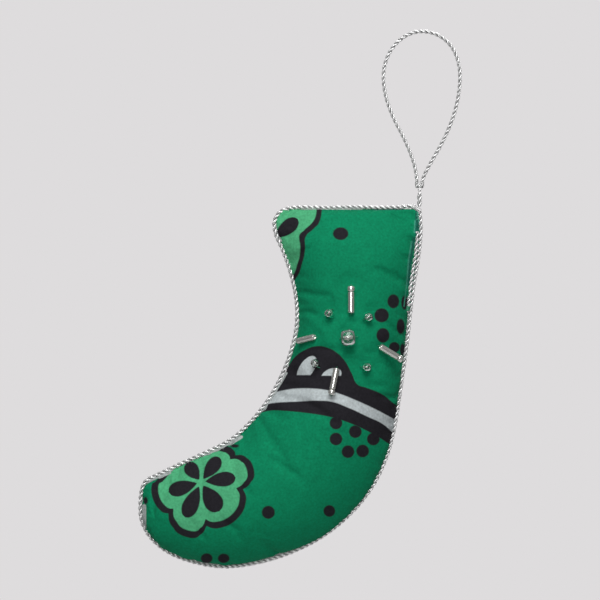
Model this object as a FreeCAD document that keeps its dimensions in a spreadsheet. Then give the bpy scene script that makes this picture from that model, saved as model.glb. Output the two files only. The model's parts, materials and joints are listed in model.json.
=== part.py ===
import FreeCAD, Part
import math
import os
import Sketcher
from FreeCAD import Placement, Rotation, Vector

# Small stuffed stocking that hangs from a loop of twisted cord.
# Frame: +Z up, +X right, the printed front faces -Y, the seam lies in the plane y = 0,
# and the origin is the inside of the loop's top, where the hook bears.

os.makedirs("parts", exist_ok=True)
doc = FreeCAD.newDocument("hanging_stocking")

DIMENSIONS = [
    ("cord_diameter", 1.15),
    ("trim_diameter", 1.3),
    ("cloth_thickness", 0.35),
    ("seam_gap", 0.06),
    ("filling_clearance", 0.12),
    ("allowance_inset", 3.0),
    ("allowance_width", 2.6),
    ("allowance_thickness", 0.36),
    ("binding_wall", 0.3),
    ("binding_length", 1.4),
    ("neck_diameter", 1.5),
    ("neck_clearance", 0.06),
    ("thread_diameter", 0.22),
    ("thread_bury", 2.2),
    ("bead_lift", 0.08),
    ("centre_diameter", 5.4),
    ("centre_width", 4.2),
    ("centre_bore", 1.1),
    ("bugle_diameter", 1.9),
    ("bugle_length", 6.2),
    ("bugle_bore", 0.8),
    ("seed_diameter", 2.6),
    ("seed_width", 2.0),
    ("seed_bore", 0.8),
    ("tip_diameter", 2.2),
    ("tip_width", 1.6),
    ("tip_bore", 0.7),
    ("tip_gap", 0.12),
]

sheet = doc.addObject("Spreadsheet::Sheet", "Dimensions")
for row, (alias, number) in enumerate(DIMENSIONS, start=1):
    sheet.set(f"A{row}", alias)
    sheet.set(f"B{row}", str(number))
    sheet.setAlias(f"B{row}", alias)
doc.recompute()

parts = {}


def size(alias):
    """A driving dimension, read from the sheet."""
    return float(sheet.get(alias))


def keep(name, item):
    """Name an object as one finished sub-part."""
    item.Label = name
    parts[name] = item
    return item


# ---- routes of straight runs joined by tangent arcs ----

RUN_SHARE = 0.45


def route_edges(points, name, reach=math.inf):
    """Straight runs with a tangent arc at each inner point, as large as its two runs or reach allow."""
    points = [Vector(*p) for p in points]
    edges = []
    radii = []
    start = points[0]
    for before, corner, after in zip(points, points[1:], points[2:]):
        run_in = corner - before
        run_out = after - corner
        turn = run_in.getAngle(run_out)
        cut = min(RUN_SHARE * min(run_in.Length, run_out.Length), reach)
        radii.append(cut / math.tan(turn / 2))
        arc_start = corner - run_in.normalize() * cut
        arc_end = corner + run_out.normalize() * cut
        centre_way = (arc_start + arc_end) * 0.5 - corner
        centre_way.normalize()
        centre = corner + centre_way * math.hypot(cut, radii[-1])
        arc_middle = centre - centre_way * radii[-1]
        edges.append(Part.LineSegment(start, arc_start).toShape())
        edges.append(Part.Arc(arc_start, arc_middle, arc_end).toShape())
        start = arc_end
    edges.append(Part.LineSegment(start, points[-1]).toShape())
    print(f"{name}: bend radii {min(radii):.2f} to {max(radii):.2f} mm")
    return edges


def swept_cord(name, points, diameter_alias, reach=math.inf):
    """A round cord swept along its route, with its diameter bound to the sheet."""
    edges = route_edges(points, name, reach)
    path = doc.addObject("Part::Feature", name + "_route")
    path.Shape = Part.Wire(edges)
    ring = doc.addObject("Part::Circle", name + "_section")
    ring.setExpression("Radius", f"Dimensions.{diameter_alias} / 2")
    heading = Vector(*points[1]) - Vector(*points[0])
    ring.Placement = Placement(Vector(*points[0]), Rotation(Vector(0, 0, 1), heading))
    cord = doc.addObject("Part::Sweep", name)
    cord.Sections = [ring]
    cord.Spine = (path, [f"Edge{i + 1}" for i in range(len(edges))])
    cord.Solid = True
    cord.Frenet = False
    doc.recompute()
    length = path.Shape.Length
    expected = math.pi * size(diameter_alias) ** 2 / 4 * length
    share = cord.Shape.Volume / expected
    print(f"{name}: length {length:.1f} mm, volume over section times length {share:.4f}")
    return keep(name, cord)


# ---- outline: pairs of points across the stocking, from the cuff to the toe ----
# Each pair is (x, z on the instep side), (x, z on the heel side), then the height of the front there.

FAN = [
    ((-41.1, -53.8), (-2.0, -53.4), 1.0),
    ((-43.3, -57.6), (-1.5, -58.0), 4.8),
    ((-40.95, -64.5), (-2.1, -65.0), 8.2),
    ((-37.8, -74.0), (-3.9, -74.0), 9.4),
    ((-36.4, -84.5), (-5.1, -84.3), 9.8),
    ((-37.9, -94.6), (-6.0, -96.2), 10.0),
    ((-41.9, -105.3), (-7.6, -108.0), 10.4),
    ((-48.7, -115.1), (-9.35, -118.8), 10.8),
    ((-56.6, -122.7), (-12.3, -128.7), 11.0),
    ((-64.3, -126.7), (-18.8, -139.4), 11.0),
    ((-71.6, -130.0), (-30.0, -149.8), 10.6),
    ((-77.8, -133.3), (-43.9, -156.2), 9.6),
    ((-81.9, -136.9), (-57.6, -159.1), 8.0),
    ((-83.3, -141.3), (-69.0, -157.5), 5.4),
    ((-83.2, -145.8), (-76.4, -154.2), 2.8),
    ((-81.9, -148.9), (-79.9, -151.4), 0.9),
]

# The cord over the seam starts at the loop's corner, runs down the heel side, round the sole and toe,
# up the instep and back along the cuff.
TRIM_ROUTE = [
    (-0.75, 0, -52.9), (-0.25, 0, -57.6), (-0.6, 0, -63.6), (-1.5, 0, -69.6), (-2.6, 0, -75.8),
    (-3.4, 0, -82.4), (-4.1, 0, -89.2), (-5.0, 0, -96.4), (-6.1, 0, -104.0), (-7.2, 0, -111.8),
    (-8.6, 0, -120.2), (-10.9, 0, -128.2), (-14.8, 0, -136.2), (-20.9, 0, -143.9),
    (-28.9, 0, -150.6), (-38.3, 0, -155.6), (-48.6, 0, -158.9), (-59.0, 0, -160.4),
    (-67.8, 0, -159.0), (-75.4, 0, -156.4), (-81.2, 0, -152.0), (-84.4, 0, -146.4),
    (-84.5, 0, -140.9), (-84.2, 0, -137.2), (-83.0, 0, -134.2), (-79.6, 0, -132.7),
    (-71.9, 0, -129.0), (-64.0, 0, -125.5), (-56.6, 0, -121.9), (-50.2, 0, -115.6),
    (-45.4, 0, -109.2),
    (-41.7, 0, -102.2), (-38.9, 0, -94.8), (-37.3, 0, -87.0), (-37.6, 0, -79.6),
    (-39.2, 0, -72.2), (-41.6, 0, -65.2), (-44.1, 0, -60.2), (-44.4, 0, -55.8),
    (-41.7, 0, -52.7), (-36.5, 0, -52.2), (-29.0, 0, -52.5), (-20.5, 0, -52.1),
    (-12.0, 0, -52.5), (-5.0, 0, -52.2), (-2.7, 0, -51.9),
]

# The hanging loop: up from the neck on one side, round the top and down the other side.
LOOP_ROUTE = [
    (-1.38, 0, -46.4), (-1.38, 0, -44.1), (-2.5, 0, -38.2), (-5.3, 0, -31.6), (-9.0, 0, -24.8),
    (-11.5, 0, -17.2), (-11.6, 0, -9.6), (-8.4, 0, -3.2), (-2.9, 0, 0.5), (3.4, 0, 0.4),
    (8.9, 0, -3.3), (11.5, 0, -9.8), (11.3, 0, -17.4), (9.6, 0, -25.0), (6.4, 0, -32.4),
    (2.7, 0, -38.8), (-0.12, 0, -44.1), (-0.12, 0, -46.4),
]

# The cord's spare end lies beside the cord over the seam, towards the front.
TAIL_ROUTE = [
    (-1.5, -1.1, -59.6), (-1.75, -1.12, -64.6), (-2.6, -1.1, -69.8), (-3.45, -1.13, -75.0),
    (-4.1, -1.1, -80.0), (-4.5, -1.1, -83.8),
]


def fan_frame(pair, inset, lift):
    """Both ends of a section moved inward by inset, and its crown, on the front side."""
    left = Vector(pair[0][0], 0, pair[0][1])
    right = Vector(pair[1][0], 0, pair[1][1])
    across = (right - left).normalize()
    left = left + across * inset
    right = right - across * inset
    crown = (left + right) * 0.5 + Vector(0, -lift, 0)
    return left, right, crown


def lofted(name, wires):
    """A smooth loft through closed section wires, as a document object."""
    sections = []
    for number, wire in enumerate(wires, start=1):
        section = doc.addObject("Part::Feature", f"{name}_section_{number}")
        section.Shape = wire
        sections.append(section)
    loft = doc.addObject("Part::Loft", name)
    loft.Sections = sections
    loft.Solid = True
    loft.Ruled = False
    doc.recompute()
    return loft


def panel_wires(side):
    """Crescent sections of one cloth panel: side is -1 for the front and 1 for the back."""
    thickness = size("cloth_thickness")
    away = Vector(0, side * size("seam_gap") / 2, 0)
    flip = Vector(1, -side, 1)
    wires = []
    for *pair, height in FAN:
        left, right, crown = fan_frame(pair, 0, height)
        inner_left, inner_right, inner_crown = fan_frame(pair, thickness, height - thickness)
        outer = [v.scale(*flip) + away for v in (left, crown, right)]
        inner = [v.scale(*flip) + away for v in (inner_right, inner_crown, inner_left)]
        edges = [
            Part.Arc(*outer),
            Part.LineSegment(outer[2], inner[0]),
            Part.Arc(*inner),
            Part.LineSegment(inner[2], outer[0]),
        ]
        wires.append(Part.Wire([edge.toShape() for edge in edges]))
    return wires


FILLING_PULL = 0.25  # extra clearance at the seam, where the two panels close on each other
FILLING_LEAST = 0.3  # height of the filling where the panels lie almost flat


def filling_wires(side):
    """D-shaped sections of one half of the filling, inside the panel and clear of it."""
    inset = size("cloth_thickness") + size("filling_clearance")
    wires = []
    for *pair, height in FAN:
        left, right, crown = fan_frame(pair, inset + FILLING_PULL, max(height - inset, FILLING_LEAST))
        crown = Vector(crown.x, -side * crown.y, crown.z)
        edges = [Part.Arc(left, crown, right), Part.LineSegment(right, left)]
        wires.append(Part.Wire([edge.toShape() for edge in edges]))
    return wires


# ---- cords ----

hanging_loop = swept_cord("hanging_loop", LOOP_ROUTE, "cord_diameter")
edge_cord = swept_cord("edge_cord", TRIM_ROUTE, "trim_diameter")
cord_tail = swept_cord("cord_tail", TAIL_ROUTE, "cord_diameter")

# ---- cloth panels ----

front_panel = keep("front_panel", lofted("front_panel", panel_wires(-1)))
back_panel = keep("back_panel", lofted("back_panel", panel_wires(1)))


# ---- turned-in seam allowance, a flat ring inside the seam, and the filling around it ----

outline = doc.addObject("Part::Feature", "seam_outline")
outline_edges = route_edges(TRIM_ROUTE, "seam outline")
closing_line = Part.LineSegment(Vector(*TRIM_ROUTE[-1]), Vector(*TRIM_ROUTE[0]))
outline.Shape = Part.Wire(outline_edges + [closing_line.toShape()])


def outline_plate(name, inset, thickness):
    """A flat plate in the seam plane, its rim inset from the seam cord's centre line."""
    rim = doc.addObject("Part::Offset2D", name + "_rim")
    rim.Source = outline
    rim.setExpression("Value", f"-({inset})")
    plate = doc.addObject("Part::Extrusion", name)
    plate.Base = rim
    plate.Dir = Vector(0, 1, 0)
    plate.Solid = True
    plate.Symmetric = True
    plate.setExpression("LengthFwd", thickness)
    return plate


def outline_ring(name, inset, width, thickness):
    """A flat ring that follows the seam inside the panels."""
    ring = doc.addObject("Part::Cut", name)
    ring.Base = outline_plate(name + "_outer", inset, thickness)
    ring.Tool = outline_plate(name + "_inner", f"{inset} + {width}", thickness)
    return ring


allowance = outline_ring(
    "seam_allowance",
    "Dimensions.allowance_inset",
    "Dimensions.allowance_width",
    "Dimensions.allowance_thickness",
)
keep("seam_allowance", allowance)

ROOM = "Dimensions.filling_clearance"
allowance_room = outline_ring(
    "allowance_room",
    f"-{ROOM}",
    f"Dimensions.allowance_inset + Dimensions.allowance_width + 2 * {ROOM}",
    f"Dimensions.allowance_thickness + 2 * {ROOM}",
)
filling_halves = doc.addObject("Part::MultiFuse", "filling_halves")
filling_halves.Shapes = [
    lofted("filling_front", filling_wires(-1)),
    lofted("filling_back", filling_wires(1)),
]
stuffing = doc.addObject("Part::Cut", "stuffing")
stuffing.Base = filling_halves
stuffing.Tool = allowance_room
keep("stuffing", stuffing)
doc.recompute()


# ---- neck: binding round the loop's two legs, the gathered cord under it and its stitch ----

NECK_X = -0.75
LEG_SPREAD = 0.63
LEG_END_Z = -46.4
BINDING_FOOT_Z = -46.1
FOLD_Z = -51.3


def slot_block(name, radius, height):
    """An upright block with round ends, centred on the neck."""
    cheeks = []
    for side in (-1, 1):
        cheek = doc.addObject("Part::Cylinder", f"{name}_end_{'left' if side < 0 else 'right'}")
        cheek.setExpression("Radius", radius)
        cheek.setExpression("Height", height)
        cheek.Placement.Base = Vector(NECK_X + side * LEG_SPREAD, 0, BINDING_FOOT_Z)
        cheeks.append(cheek)
    middle = doc.addObject("Part::Box", name + "_middle")
    middle.Length = 2 * LEG_SPREAD
    middle.setExpression("Width", f"2 * ({radius})")
    middle.setExpression("Height", height)
    middle.setExpression("Placement.Base.y", f"-({radius})")
    middle.Placement.Base.x = NECK_X - LEG_SPREAD
    middle.Placement.Base.z = BINDING_FOOT_Z
    block = doc.addObject("Part::MultiFuse", name)
    block.Shapes = cheeks + [middle]
    return block


LEG_HOLE = "Dimensions.cord_diameter / 2 + Dimensions.neck_clearance"
binding = doc.addObject("Part::Cut", "neck_binding")
binding_outside = f"{LEG_HOLE} + Dimensions.binding_wall"
binding.Base = slot_block("binding_outer", binding_outside, "Dimensions.binding_length")
binding.Tool = slot_block("binding_inner", LEG_HOLE, "Dimensions.binding_length")
keep("neck_binding", binding)

# The neck's round head turns and leans under the legs' ends, and its shaft folds on the corner stitch.
NECK_R = size("neck_diameter") / 2
HEAD_Z = LEG_END_Z - size("neck_clearance") - NECK_R
neck_head = doc.addObject("Part::Sphere", "neck_head")
neck_head.setExpression("Radius", "Dimensions.neck_diameter / 2")
neck_head.Placement.Base = Vector(NECK_X, 0, HEAD_Z)
keep("neck_head", neck_head)

neck_shaft = doc.addObject("Part::Cylinder", "neck_shaft")
neck_shaft.setExpression("Radius", "Dimensions.neck_diameter / 2")
neck_shaft.Height = HEAD_Z - NECK_R - size("neck_clearance") - FOLD_Z
neck_shaft.Placement.Base = Vector(NECK_X, 0, FOLD_Z)
neck_end = doc.addObject("Part::Sphere", "neck_end")
neck_end.setExpression("Radius", "Dimensions.neck_diameter / 2")
neck_end.Placement.Base = Vector(NECK_X, 0, FOLD_Z)
neck_solid = doc.addObject("Part::Fuse", "neck_solid")
neck_solid.Base = neck_shaft
neck_solid.Tool = neck_end
stitch_hole = doc.addObject("Part::Cylinder", "stitch_hole")
stitch_hole.setExpression("Radius", "Dimensions.thread_diameter / 2 + Dimensions.neck_clearance")
stitch_hole.setExpression("Height", "2 * Dimensions.neck_diameter")
stitch_hole.Placement = Placement(
    Vector(NECK_X - size("neck_diameter"), 0, FOLD_Z), Rotation(Vector(0, 1, 0), 90)
)
neck_cord = doc.addObject("Part::Cut", "neck_cord")
neck_cord.Base = neck_solid
neck_cord.Tool = stitch_hole
keep("neck_cord", neck_cord)

THREAD_REACH = 0.45  # how far a thread's bend reaches along each of its runs
STITCH_HALF = 1.25
STITCH_SPLAY = 0.6
STITCH_DEPTH = 2.9
corner_stitch = swept_cord(
    "corner_stitch",
    [
        (NECK_X - STITCH_HALF - STITCH_SPLAY, 0, FOLD_Z - STITCH_DEPTH),
        (NECK_X - STITCH_HALF, 0, FOLD_Z),
        (NECK_X + STITCH_HALF, 0, FOLD_Z),
        (NECK_X + STITCH_HALF, 0, FOLD_Z - STITCH_DEPTH),
    ],
    "thread_diameter",
    THREAD_REACH,
)

# The tail's end is bound to the cord beside it with a few turns of thread, a ring round the tail.
BINDING_BACK = 1.9
tail_end = Vector(*TAIL_ROUTE[-1])
tail_heading = (tail_end - Vector(*TAIL_ROUTE[-2])).normalize()
binding_place = Placement(tail_end - tail_heading * BINDING_BACK, Rotation(Vector(0, 0, 1), tail_heading))
ring_outer = doc.addObject("Part::Cylinder", "tail_ring_outer")
ring_outer.setExpression("Radius", f"{LEG_HOLE} + Dimensions.thread_diameter / 2")
ring_outer.setExpression("Height", "Dimensions.binding_length")
ring_outer.Placement = binding_place
ring_inner = doc.addObject("Part::Cylinder", "tail_ring_inner")
ring_inner.setExpression("Radius", "Dimensions.cord_diameter / 2 + Dimensions.neck_clearance / 2")
ring_inner.setExpression("Height", "Dimensions.binding_length")
ring_inner.Placement = binding_place
tail_binding = doc.addObject("Part::Cut", "tail_binding")
tail_binding.Base = ring_outer
tail_binding.Tool = ring_inner
keep("tail_binding", tail_binding)
doc.recompute()


# ---- beads on the front ----

cloth = front_panel.Shape
PROBE_START = -40
PROBE_STEP = 0.4


def cloth_point(x, z):
    """The point of the front panel's outside straight in front of (x, z)."""
    probe = Part.makeLine(Vector(x, PROBE_START, z), Vector(x, 0, z))
    hit = probe.common(cloth)
    return Vector(x, hit.BoundBox.YMin, z)


def cloth_normal(x, z):
    """The outward normal of the front panel at (x, z)."""
    across = cloth_point(x + PROBE_STEP, z) - cloth_point(x - PROBE_STEP, z)
    along = cloth_point(x, z + PROBE_STEP) - cloth_point(x, z - PROBE_STEP)
    return across.cross(along).normalize()


def plane_of(body, role):
    """One of a body's own origin planes."""
    return next(item for item in body.Origin.OriginFeatures if item.Role == role)


def bead_body(name, kind, rounding):
    """A bored bead round its own Z axis: a revolved wall whose outer corners are rounded."""
    body = doc.addObject("PartDesign::Body", name)
    sketch = body.newObject("Sketcher::SketchObject", name + "_wall")
    sketch.AttachmentSupport = (plane_of(body, "XZ_Plane"), [""])
    sketch.MapMode = "FlatFace"
    inner = size(f"{kind}_bore") / 2
    outer = size(f"{kind}_diameter") / 2
    half = size(LENGTH_OF[kind]) / 2
    corners = [
        Vector(inner, -half, 0),
        Vector(outer, -half, 0),
        Vector(outer, half, 0),
        Vector(inner, half, 0),
    ]
    for first, second in zip(corners, corners[1:] + corners[:1]):
        sketch.addGeometry(Part.LineSegment(first, second), False)
    for side in range(4):
        sketch.addConstraint(Sketcher.Constraint("Coincident", side, 2, (side + 1) % 4, 1))
    sketch.addConstraint(Sketcher.Constraint("Horizontal", 0))
    sketch.addConstraint(Sketcher.Constraint("Horizontal", 2))
    sketch.addConstraint(Sketcher.Constraint("Vertical", 1))
    sketch.addConstraint(Sketcher.Constraint("Vertical", 3))
    sketch.addConstraint(Sketcher.Constraint("DistanceX", -1, 1, 0, 1, inner))
    sketch.setExpression("Constraints[8]", f"Dimensions.{kind}_bore / 2")
    sketch.addConstraint(Sketcher.Constraint("DistanceX", -1, 1, 0, 2, outer))
    sketch.setExpression("Constraints[9]", f"Dimensions.{kind}_diameter / 2")
    sketch.addConstraint(Sketcher.Constraint("DistanceY", -1, 1, 1, 2, half))
    sketch.setExpression("Constraints[10]", f"Dimensions.{LENGTH_OF[kind]} / 2")
    sketch.addConstraint(Sketcher.Constraint("DistanceY", 0, 2, -1, 1, half))
    sketch.setExpression("Constraints[11]", f"Dimensions.{LENGTH_OF[kind]} / 2")
    wall = body.newObject("PartDesign::Revolution", name + "_turned")
    wall.Profile = sketch
    wall.ReferenceAxis = (sketch, ["V_Axis"])
    wall.Angle = 360
    doc.recompute()
    rims = []
    for number, edge in enumerate(wall.Shape.Edges, start=1):
        if hasattr(edge.Curve, "Radius") and abs(edge.Curve.Radius - outer) < 1e-6:
            rims.append(f"Edge{number}")
    rounded = body.newObject("PartDesign::Fillet", name + "_rounding")
    rounded.Base = (wall, rims)
    rounded.setExpression("Radius", f"{rounding} * Dimensions.{LENGTH_OF[kind]}")
    body.Tip = rounded
    doc.recompute()
    return keep(name, body)


LENGTH_OF = {"centre": "centre_width", "bugle": "bugle_length", "seed": "seed_width", "tip": "tip_width"}
AXIS_SAMPLES = (-0.5, -0.25, 0, 0.25, 0.5)
SETTLE_STEPS = 8
START_HEIGHT = 4  # a bead is lowered onto the cloth from this far in front of it
TIP_ROUNDING = 0.3
THREAD_OVERRUN = 0.45  # a thread turns down this far past the end of its bead


def stations(kind, has_tip):
    """Places along a bead's axis, and along its tip bead's if it has one, each with the radius there."""
    length = size(LENGTH_OF[kind])
    places = [(share * length, size(f"{kind}_diameter") / 2) for share in AXIS_SAMPLES]
    if has_tip:
        middle = length / 2 + size("tip_gap") + size("tip_width") / 2
        places += [(middle + share * size("tip_width"), size("tip_diameter") / 2) for share in AXIS_SAMPLES]
    return places


def settle(x, z, way, follow, places):
    """Centre and axis of a bead that just clears the cloth: way is its direction in the XZ plane and
    follow is how much of the cloth's slope it takes."""
    normal = cloth_normal(x, z)
    slope = -(normal.x * way[0] + normal.z * way[1]) / normal.y
    axis = Vector(way[0], follow * slope, way[1]).normalize()
    centre = cloth_point(x, z) - Vector(0, START_HEIGHT, 0)
    for _ in range(SETTLE_STEPS):
        gaps = []
        for offset, radius in places:
            stop = Part.Vertex(centre + axis * offset)
            gaps.append(stop.distToShape(cloth)[0] - radius)
        centre.y += min(gaps) - size("bead_lift")
    return centre, axis, normal


def set_on_axis(body, centre, axis):
    """Move a bead to its place, its bore along the axis."""
    body.Placement = Placement(centre, Rotation(Vector(0, 0, 1), axis))


def print_pivot(name, centre, axis):
    """Where a bead turns, for its joint."""
    numbers = [round(value, 4) for value in (*centre, *axis)]
    print("pivot", name, *numbers)


def bead_thread(name, start, end, normal, drop):
    """A thread through a bead's bore whose two ends dive into the filling."""
    down = normal * -(drop + size("thread_bury"))
    route = [tuple(point) for point in (start + down, start, end, end + down)]
    return swept_cord(name, route, "thread_diameter", THREAD_REACH)


# Name, kind, x, z, direction in the XZ plane, share of the cloth's slope, rounding, and whether
# a tip bead follows.
BEADS = [
    ("centre_bead", "centre", -22.5, -91.1, (1.0, 0.1), 1.0, 0.4, False),
    ("bugle_bead_top", "bugle", -21.6, -80.8, (0.0, 1.0), 1.0, 0.03, True),
    ("bugle_bead_left", "bugle", -34.8, -91.7, (-0.964, -0.265), 0.6, 0.03, False),
    ("bugle_bead_bottom", "bugle", -26.5, -103.2, (-0.2, -0.98), 1.0, 0.03, True),
    ("bugle_bead_right", "bugle", -10.4, -95.4, (0.853, -0.52), 0.3, 0.03, True),
    ("seed_bead_upper_left", "seed", -28.1, -84.0, (0.5, 0.87), 1.0, 0.3, False),
    ("seed_bead_upper_right", "seed", -16.5, -85.1, (0.87, 0.5), 1.0, 0.3, False),
    ("seed_bead_lower_right", "seed", -17.0, -99.8, (1.0, 0.0), 1.0, 0.3, False),
    ("seed_bead_lower_left", "seed", -32.2, -98.8, (0.6, -0.8), 1.0, 0.3, False),
]

for name, kind, x, z, way, follow, rounding, has_tip in BEADS:
    centre, axis, normal = settle(x, z, way, follow, stations(kind, has_tip))
    set_on_axis(bead_body(name, kind, rounding), centre, axis)
    half = size(LENGTH_OF[kind]) / 2
    far_reach = half + THREAD_OVERRUN
    if has_tip:
        tip_offset = half + size("tip_gap") + size("tip_width") / 2
        tip_name = name.replace("bugle", "tip")
        set_on_axis(bead_body(tip_name, "tip", TIP_ROUNDING), centre + axis * tip_offset, axis)
        print_pivot(tip_name, centre + axis * tip_offset, axis)
        far_reach += size("tip_gap") + size("tip_width")
    near = centre - axis * (half + THREAD_OVERRUN)
    far = centre + axis * far_reach
    thread_name = name.replace("_bead", "_thread")
    bead_thread(thread_name, near, far, normal, size(f"{kind}_diameter") / 2)
    print_pivot(name, centre, axis)

# ---- check and write ----

doc.recompute()
failed = [item.Name for item in doc.Objects if {"Invalid", "Error"} & set(item.State)]
failed += [name for name, item in parts.items() if item.Shape.isNull() or not item.Shape.isValid()]
if failed:
    raise SystemExit(f"failed objects: {failed}")
for name, item in parts.items():
    item.Shape.exportStep(f"parts/{name}.step")
print(f"{len(parts)} sub-parts written")
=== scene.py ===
import json
import math
import random

import bmesh
import bpy
import numpy as np
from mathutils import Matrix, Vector


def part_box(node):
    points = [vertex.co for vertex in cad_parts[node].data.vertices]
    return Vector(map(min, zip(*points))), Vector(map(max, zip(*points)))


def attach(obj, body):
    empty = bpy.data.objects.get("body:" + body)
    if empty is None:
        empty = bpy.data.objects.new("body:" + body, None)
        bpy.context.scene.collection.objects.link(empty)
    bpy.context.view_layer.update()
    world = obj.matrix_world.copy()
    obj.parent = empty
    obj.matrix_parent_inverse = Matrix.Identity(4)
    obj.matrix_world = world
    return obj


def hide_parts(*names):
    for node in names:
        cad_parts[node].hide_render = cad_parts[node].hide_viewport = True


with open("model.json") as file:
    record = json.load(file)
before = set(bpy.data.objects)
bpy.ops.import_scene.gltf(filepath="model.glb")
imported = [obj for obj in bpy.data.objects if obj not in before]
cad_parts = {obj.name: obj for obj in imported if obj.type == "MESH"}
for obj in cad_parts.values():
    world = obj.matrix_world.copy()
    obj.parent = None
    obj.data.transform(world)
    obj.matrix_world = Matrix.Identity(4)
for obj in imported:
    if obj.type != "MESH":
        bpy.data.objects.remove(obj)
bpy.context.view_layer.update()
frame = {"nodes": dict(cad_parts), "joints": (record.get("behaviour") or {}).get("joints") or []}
rng = random.Random(12)

MM = 0.001
CORD_D = 1.15 * MM
TRIM_D = 1.3 * MM
CORD_LAY = 3.3 * MM

# ---- camera, floor, light ----

scene = bpy.context.scene
scene.view_settings.view_transform = "Standard"
PALE = (0.7305, 0.7157, 0.7231, 1)
AIR_BELOW = 0.01
AIR_ABOVE = 0.2
FLOOR_GLOW = 0.78


def add_object(name, data):
    """A new object in the scene's collection."""
    item = bpy.data.objects.new(name, data)
    scene.collection.objects.link(item)
    return item


def add_camera():
    """A long lens straight in front of the stocking, level with its middle."""
    data = bpy.data.cameras.new("camera")
    data.sensor_width = 36
    data.lens = 100
    field = 180 * MM
    item = add_object("camera", data)
    item.location = (-36.6 * MM, -field * data.lens / data.sensor_width, -80.1 * MM)
    item.rotation_euler = (math.radians(90), 0, 0)
    scene.camera = item


def area_light(name, place, target, size, power):
    """A soft square light that looks at its target."""
    data = bpy.data.lights.new(name, "AREA")
    data.size = size
    data.energy = power
    item = add_object(name, data)
    item.location = place
    item.rotation_euler = (Vector(target) - Vector(place)).to_track_quat("-Z", "Y").to_euler()


def pale_air():
    """Pale air behind the object, whose light is bright from above and dim from below."""
    world = bpy.data.worlds.new("air")
    world.use_nodes = True
    tree = world.node_tree
    seen = tree.nodes["Background"]
    seen.inputs["Color"].default_value = PALE
    shed = tree.nodes.new("ShaderNodeBackground")
    split = tree.nodes.new("ShaderNodeSeparateXYZ")
    tree.links.new(tree.nodes.new("ShaderNodeTexCoord").outputs["Generated"], split.inputs[0])
    rise = tree.nodes.new("ShaderNodeMapRange")
    tree.links.new(split.outputs["Z"], rise.inputs["Value"])
    rise.inputs["From Min"].default_value = -0.6
    rise.inputs["From Max"].default_value = 0.9
    rise.inputs["To Min"].default_value = AIR_BELOW
    rise.inputs["To Max"].default_value = AIR_ABOVE
    tree.links.new(rise.outputs["Result"], shed.inputs["Strength"])
    shed.inputs["Color"].default_value = (1, 1, 1, 1)
    choice = tree.nodes.new("ShaderNodeMixShader")
    tree.links.new(tree.nodes.new("ShaderNodeLightPath").outputs["Is Camera Ray"], choice.inputs[0])
    tree.links.new(shed.outputs[0], choice.inputs[1])
    tree.links.new(seen.outputs[0], choice.inputs[2])
    tree.links.new(choice.outputs[0], tree.nodes["World Output"].inputs[0])
    return world


def add_stage():
    """A floor well below the hanging stocking, which looks as pale as the air but sheds no light on it."""
    mesh = bpy.data.meshes.new("floor")
    shape = bmesh.new()
    bmesh.ops.create_circle(shape, cap_ends=True, radius=1.6, segments=96)
    shape.to_mesh(mesh)
    shape.free()
    floor = add_object("floor", mesh)
    floor.location = (0, 0, -0.6)
    floor_look = bpy.data.materials.new("floor_paint")
    floor_look.use_nodes = True
    shader = floor_look.node_tree.nodes["Principled BSDF"]
    shader.inputs["Base Color"].default_value = PALE
    shader.inputs["Roughness"].default_value = 0.9
    shader.inputs["Emission Color"].default_value = PALE
    glow = floor_look.node_tree.nodes.new("ShaderNodeMath")
    glow.operation = "MULTIPLY"
    glow.inputs[1].default_value = FLOOR_GLOW
    links = floor_look.node_tree.links
    links.new(floor_look.node_tree.nodes.new("ShaderNodeLightPath").outputs["Is Camera Ray"], glow.inputs[0])
    links.new(glow.outputs[0], shader.inputs["Emission Strength"])
    mesh.materials.append(floor_look)
    scene.world = pale_air()


add_camera()
add_stage()
MIDDLE = (-36 * MM, 0, -105 * MM)
area_light("key", (-0.04, -0.5, 0.46), MIDDLE, 0.5, 5.0)
area_light("front", (-0.08, -0.66, -0.02), MIDDLE, 0.12, 1.0)
area_light("rim", (0.1, 0.6, 0.4), MIDDLE, 0.4, 3.0)

# ---- node helpers ----


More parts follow.
